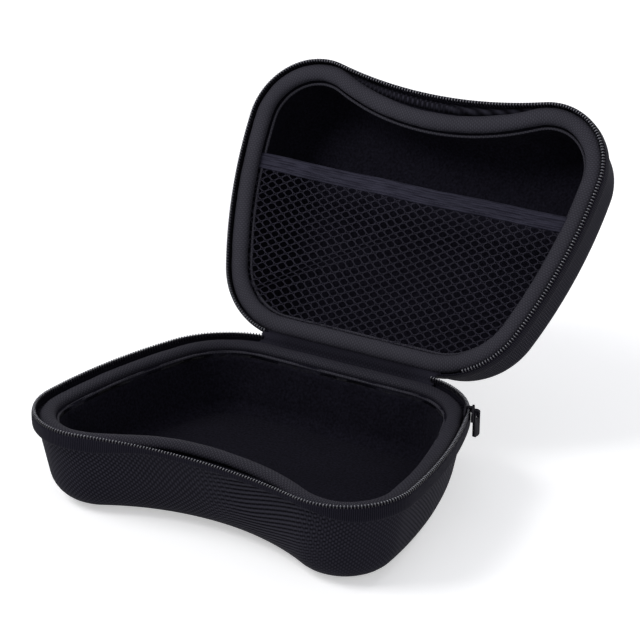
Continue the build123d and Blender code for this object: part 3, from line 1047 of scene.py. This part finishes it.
# %% Slider and pull
pin = Matrix.Translation(joints["pull_swing"]["pos_m"])
twist = pin @ Matrix.Rotation(math.radians(-28), 4, "Z") @ pin.inverted()
for node, body in (("zip_slider", "base"), ("slider_pull", "pull")):
    metal = show(f"{node}_metal", frame["nodes"][node].data.copy())
    merged = bmesh.new()
    merged.from_mesh(metal.data)
    bmesh.ops.remove_doubles(merged, verts=merged.verts, dist=0.00001)
    bmesh.ops.dissolve_limit(merged, angle_limit=math.radians(2), verts=merged.verts,
                             edges=merged.edges)
    merged.to_mesh(metal.data)
    merged.free()
    if node == "slider_pull":
        metal.data.transform(twist)
    edge = metal.modifiers.new("broken_edge", "BEVEL")
    edge.width = 0.18 * MM
    edge.segments = 2
    edge.limit_method = "ANGLE"
    edge.angle_limit = math.radians(35)
    metal.data.shade_smooth()
    seat(metal, "slider_metal", body, node)

# %% [markdown]
# The picture was taken in a white studio. The floor is pale and lit at a plain level, and
# to the camera it adds a little light of its own, so that it runs into the white of the
# backdrop and still keeps the soft shadow under the case.

# %% Floor and world
def seen_rays(tree):
    """1 for the rays that show the background: to the camera, mirrored or let through."""
    path = add(tree, "ShaderNodeLightPath").outputs
    clear = maths(tree, "MAXIMUM", path["Is Camera Ray"], path["Is Transmission Ray"])
    return maths(tree, "MAXIMUM", clear, path["Is Glossy Ray"])


floor_mesh = bpy.data.meshes.new("studio_floor")
floor_mesh.from_pydata([(-6, -6, 0), (6, -6, 0), (6, 6, 0), (-6, 6, 0)], [], [(0, 1, 2, 3)])
floor = show("studio_floor", floor_mesh)
floor.location.z = -0.0004
paper, tree, shader = material("white backdrop paper", {"Roughness": 0.9})
grain = add(tree, "ShaderNodeTexNoise", {"Scale": 6.0}).outputs[0]
pale = add(tree, "ShaderNodeMix", {
    "data_type": "RGBA", 0: grain, 6: tint("#F4F4F4"), 7: tint("#F8F8F8")})
tree.links.new(pale.outputs[2], shader.inputs["Base Color"])
shader.inputs["Emission Color"].default_value = tint("#FFFFFF")
glow = maths(tree, "MULTIPLY", seen_rays(tree), 0.45)
tree.links.new(glow, shader.inputs["Emission Strength"])
floor.data.materials.append(paper)

world = bpy.data.worlds.new("studio")
bpy.context.scene.world = world
world.use_nodes = True
tree = world.node_tree
tree.nodes.clear()
dim = add(tree, "ShaderNodeBackground", {"Color": tint("#F2F4FF"), "Strength": 0.3})
white = add(tree, "ShaderNodeBackground", {"Color": tint("#FFFFFF"), "Strength": 1.0})
mix = add(tree, "ShaderNodeMixShader", {
    0: seen_rays(tree), 1: dim.outputs[0], 2: white.outputs[0]})
add(tree, "ShaderNodeOutputWorld", {0: mix.outputs[0]})

# %% [markdown]
# A large soft lamp stands high at the left front, where the rolls of both rims catch it,
# a weaker one fills from the right, and a third skims the top from behind. The camera
# stands at the photograph's angle with a long lens, whose focal length is given as a
# share of the width of the picture.

# %% Lamps and camera
case_middle = (0.0, 0.03, 0.07)


def lamp(name, place, size, power):
    """A square soft lamp at place, turned towards the case, in metres and watts."""
    light = bpy.data.lights.new(name, "AREA")
    light.size = size
    light.energy = power
    holder = show(name, light)
    holder.location = place
    way = Vector(case_middle) - Vector(place)
    holder.rotation_euler = way.to_track_quat("-Z", "Y").to_euler()


lamp("key_lamp", (-0.75, -0.65, 1.1), 0.7, 11.5)
lamp("fill_lamp", (1.1, -0.7, 0.7), 0.8, 3.0)
lamp("back_lamp", (0.2, 1.2, 1.0), 0.7, 6.0)

view_azimuth = math.radians(31.34)
view_elevation = math.radians(23.03)
view_roll = math.radians(0.35)
view_distance = 1.0962
view_target = Vector((0.04675, -0.03199, 0.10699))
sensor_width = 36.0
focal_share = 2631.5 / 640
level = math.cos(view_elevation)
back = Vector((math.sin(view_azimuth) * level, -math.cos(view_azimuth) * level,
               math.sin(view_elevation)))
camera = show("camera", bpy.data.cameras.new("camera"))
camera.data.sensor_width = sensor_width
camera.data.lens = sensor_width * focal_share
camera.data.clip_start = 0.05
camera.location = view_target + back * view_distance
camera.rotation_mode = "QUATERNION"
camera.rotation_quaternion = (
    (-back).to_track_quat("-Z", "Y") @ Quaternion((0, 0, 1), view_roll))
bpy.context.scene.camera = camera
bpy.context.scene.view_settings.view_transform = "Standard"
